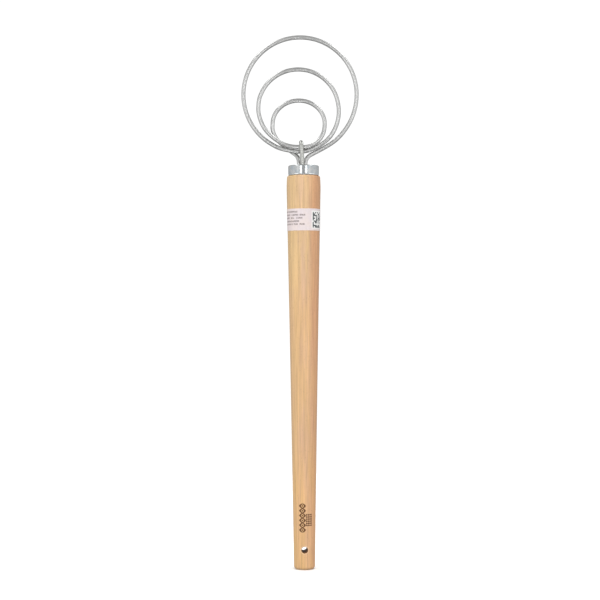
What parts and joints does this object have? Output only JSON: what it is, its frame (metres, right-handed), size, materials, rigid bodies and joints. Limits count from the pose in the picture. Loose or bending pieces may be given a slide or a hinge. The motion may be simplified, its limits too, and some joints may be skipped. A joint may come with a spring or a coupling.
{
  "type": "pastry blender",
  "caption": "Dough whisk with a long turned beech handle, a short metal ferrule and a flat head of nested loops bent from a single steel wire.",
  "frame": {"origin": "centre of the flat end of the handle's butt", "axes": "+Z along the handle towards the loops, the loops lie in the XZ plane, -Y is the front with the label's print"},
  "size_m": [0.0884, 0.0257, 0.4001],
  "materials": {
    "beech": "oiled smooth, fine straight grain with small dark flecks",
    "ferrule_metal": "satin",
    "wire": "polished stainless steel wire",
    "resin": "cast, amber brown",
    "label": "matte printed paper"
  },
  "bodies": {
    "root": {"handle": "beech", "ferrule": "ferrule_metal", "loop_wire": "wire", "retaining_clip": "wire", "bore_plug": "resin", "label_band": "label"}
  },
  "joints": []
}
